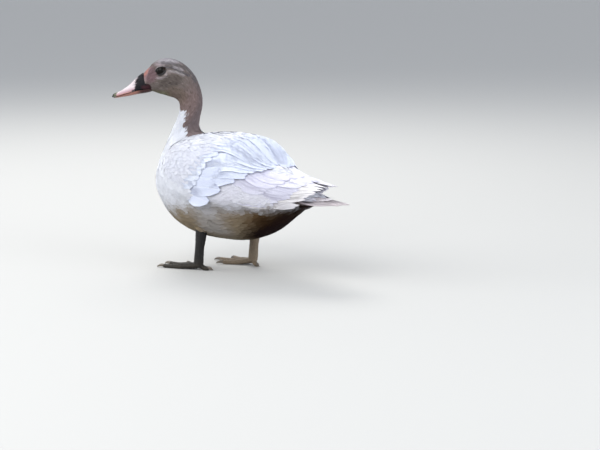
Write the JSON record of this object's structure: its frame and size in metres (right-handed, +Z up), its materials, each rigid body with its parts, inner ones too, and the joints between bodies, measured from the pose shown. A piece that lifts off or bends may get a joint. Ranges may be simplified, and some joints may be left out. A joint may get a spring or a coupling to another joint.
{
  "type": "muscovy duck",
  "caption": "Young muscovy duck standing at rest with its wings folded and its head turned to its left, life size.",
  "frame": {"origin": "on the ground plane under the middle of the duck's length and width", "axes": "+X forward from tail to breast, +Y to the bird's left, +Z up; the feet stand on z = 0"},
  "size_m": [0.368, 0.1594, 0.2893],
  "materials": {
    "body_plumage": "soft matt contour feathers, white with a lilac cast, maroon brown behind",
    "head_plumage": "short velvety lilac grey feathers",
    "wing_plumage": "soft matt covert and flight feathers, white with a lilac cast",
    "tail_plumage": "soft matt tail feathers",
    "bill": "smooth satin skin over horn, pink with a black base",
    "eye": "wet gloss",
    "near_leg": "fine reticulate scales, slate grey",
    "far_leg": "fine reticulate scales, grey brown",
    "claw": "dark horn"
  },
  "bodies": {
    "root": {"torso": "body_plumage", "neck": "head_plumage", "head": "head_plumage", "bill_upper": "bill", "bill_lower": "bill", "eye_left": "eye", "eye_right": "eye", "wing_left": "wing_plumage", "wing_right": "wing_plumage", "tail": "tail_plumage", "thigh_left": "body_plumage", "shank_left": "near_leg", "foot_left": "near_leg", "claw_left_inner": "claw", "claw_left_middle": "claw", "claw_left_outer": "claw", "claw_left_hind": "claw", "thigh_right": "body_plumage", "shank_right": "far_leg", "foot_right": "far_leg", "claw_right_inner": "claw", "claw_right_middle": "claw", "claw_right_outer": "claw", "claw_right_hind": "claw"}
  },
  "joints": []
}
